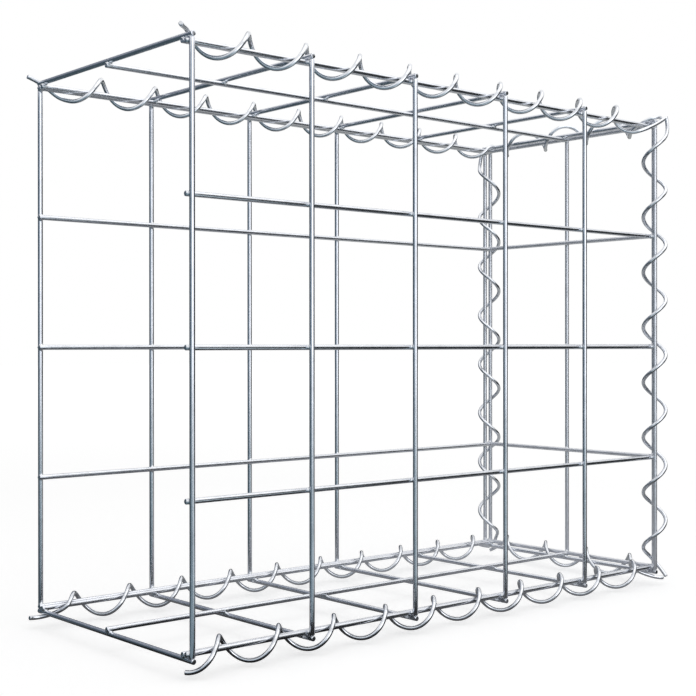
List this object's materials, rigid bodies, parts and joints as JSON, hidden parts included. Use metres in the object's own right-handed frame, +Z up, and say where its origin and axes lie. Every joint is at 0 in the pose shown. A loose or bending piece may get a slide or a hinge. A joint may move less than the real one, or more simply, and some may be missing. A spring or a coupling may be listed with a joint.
{
  "type": "gabion basket",
  "caption": "Rectangular welded wire mesh gabion basket, closed along its edges by wire spirals, with one end open.",
  "frame": {"origin": "bottom centre of the whole basket's box, spirals included", "axes": "+X along the length towards the closed end panel, with the open end at -X; the front panel faces -Y; +Z up"},
  "size_m": [0.5267, 0.2253, 0.4297],
  "materials": {
    "galvanised_wire": "galvanised, bright",
    "spiral_wire": "galvanised, bright"
  },
  "bodies": {
    "root": {"front_upright_1": "galvanised_wire", "front_upright_2": "galvanised_wire", "front_upright_3": "galvanised_wire", "front_upright_4": "galvanised_wire", "front_upright_5": "galvanised_wire", "front_upright_6": "galvanised_wire", "front_level_1": "galvanised_wire", "front_level_2": "galvanised_wire", "front_level_3": "galvanised_wire", "front_level_4": "galvanised_wire", "front_level_5": "galvanised_wire", "back_upright_1": "galvanised_wire", "back_upright_2": "galvanised_wire", "back_upright_3": "galvanised_wire", "back_upright_4": "galvanised_wire", "back_upright_5": "galvanised_wire", "back_upright_6": "galvanised_wire", "back_level_1": "galvanised_wire", "back_level_2": "galvanised_wire", "back_level_3": "galvanised_wire", "back_level_4": "galvanised_wire", "back_level_5": "galvanised_wire", "top_long_front": "galvanised_wire", "top_long_middle": "galvanised_wire", "top_long_back": "galvanised_wire", "top_cross_1": "galvanised_wire", "top_cross_2": "galvanised_wire", "top_cross_3": "galvanised_wire", "top_cross_4": "galvanised_wire", "top_cross_5": "galvanised_wire", "top_cross_6": "galvanised_wire", "bottom_long_front": "galvanised_wire", "bottom_long_middle": "galvanised_wire", "bottom_long_back": "galvanised_wire", "bottom_cross_1": "galvanised_wire", "bottom_cross_2": "galvanised_wire", "bottom_cross_3": "galvanised_wire", "bottom_cross_4": "galvanised_wire", "bottom_cross_5": "galvanised_wire", "bottom_cross_6": "galvanised_wire", "end_level_1": "galvanised_wire", "end_level_2": "galvanised_wire", "end_level_3": "galvanised_wire", "end_level_4": "galvanised_wire", "end_level_5": "galvanised_wire", "end_upright_front": "galvanised_wire", "end_upright_middle": "galvanised_wire", "end_upright_back": "galvanised_wire", "spiral_top_front": "spiral_wire", "spiral_top_back": "spiral_wire", "spiral_bottom_front": "spiral_wire", "spiral_bottom_back": "spiral_wire", "spiral_end_front": "spiral_wire", "spiral_end_back": "spiral_wire", "spiral_end_top": "spiral_wire", "spiral_end_bottom": "spiral_wire"}
  },
  "joints": []
}
